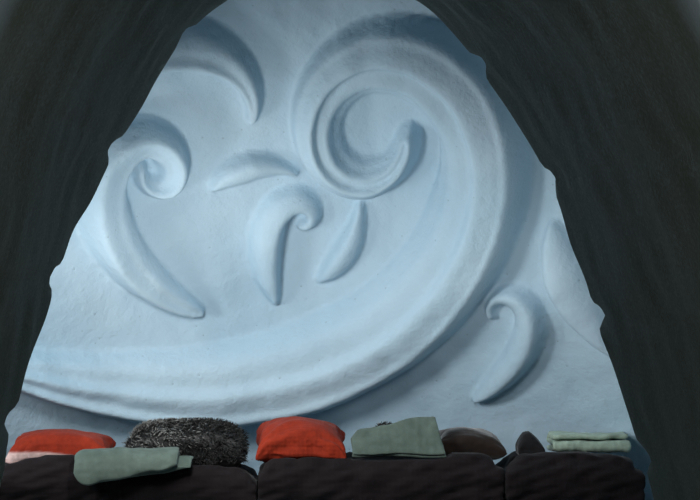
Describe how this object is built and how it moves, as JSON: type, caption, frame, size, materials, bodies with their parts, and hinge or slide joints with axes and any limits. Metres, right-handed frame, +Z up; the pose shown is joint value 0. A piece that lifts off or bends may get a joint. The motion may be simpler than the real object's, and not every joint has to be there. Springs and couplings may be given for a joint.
{
  "type": "snow block igloo with arched entrance tunnel",
  "caption": "Domed igloo of coursed snow blocks with an arched entrance tunnel, a carved scroll wall and a snow bench with pads, cushions and folded blankets.",
  "frame": {"origin": "on the ground under the middle of the whole igloo's box, halfway between the porch front and the back of the dome", "axes": "+Z up, the entrance faces -Y, the carved wall and the bench are at +Y, +X to the right of someone who walks in"},
  "size_m": [5, 6.1999, 3.1191],
  "materials": {
    "snow_blocks": "sawn wind-packed snow, matt with small pits",
    "packed_snow": "packed snow, matt",
    "carved_snow": "smoothed carved snow, matt",
    "pad_cover": "plain woven cover, matt",
    "red_cloth": "brushed cloth, soft sheen",
    "dark_fur": "long fur with pale tips",
    "brown_fur": "short brown fur",
    "grey_wool": "felted wool",
    "dark_cloth": "plain cloth, matt"
  },
  "bodies": {
    "root": {"course_1_odd": "snow_blocks", "course_1_even": "snow_blocks", "course_2_odd": "snow_blocks", "course_2_even": "snow_blocks", "course_3_odd": "snow_blocks", "course_3_even": "snow_blocks", "course_4_odd": "snow_blocks", "course_4_even": "snow_blocks", "course_5_odd": "snow_blocks", "course_5_even": "snow_blocks", "course_6_odd": "snow_blocks", "course_6_even": "snow_blocks", "course_7_odd": "snow_blocks", "course_7_even": "snow_blocks", "course_8_odd": "snow_blocks", "course_8_even": "snow_blocks", "top_block": "snow_blocks", "porch_arch_1_odd": "snow_blocks", "porch_arch_1_even": "snow_blocks", "porch_arch_2_odd": "snow_blocks", "porch_arch_2_even": "snow_blocks", "porch_arch_3_odd": "snow_blocks", "porch_arch_3_even": "snow_blocks", "inner_arch_odd": "snow_blocks", "inner_arch_even": "snow_blocks", "snow_bench": "packed_snow", "scroll_wave": "carved_snow", "scroll_left": "carved_snow", "scroll_top": "carved_snow", "curl_left": "carved_snow", "curl_right": "carved_snow", "scroll_leaves": "carved_snow", "pad_left": "pad_cover", "pad_middle": "pad_cover", "pad_right": "pad_cover", "cushion_red_left": "red_cloth", "cushion_red_middle": "red_cloth", "cushion_fur": "dark_fur", "cushion_brown": "brown_fur", "blanket_left": "grey_wool", "blanket_middle": "grey_wool", "blanket_right": "grey_wool", "fur_throw": "dark_fur", "dark_pouch": "dark_cloth"}
  },
  "joints": []
}
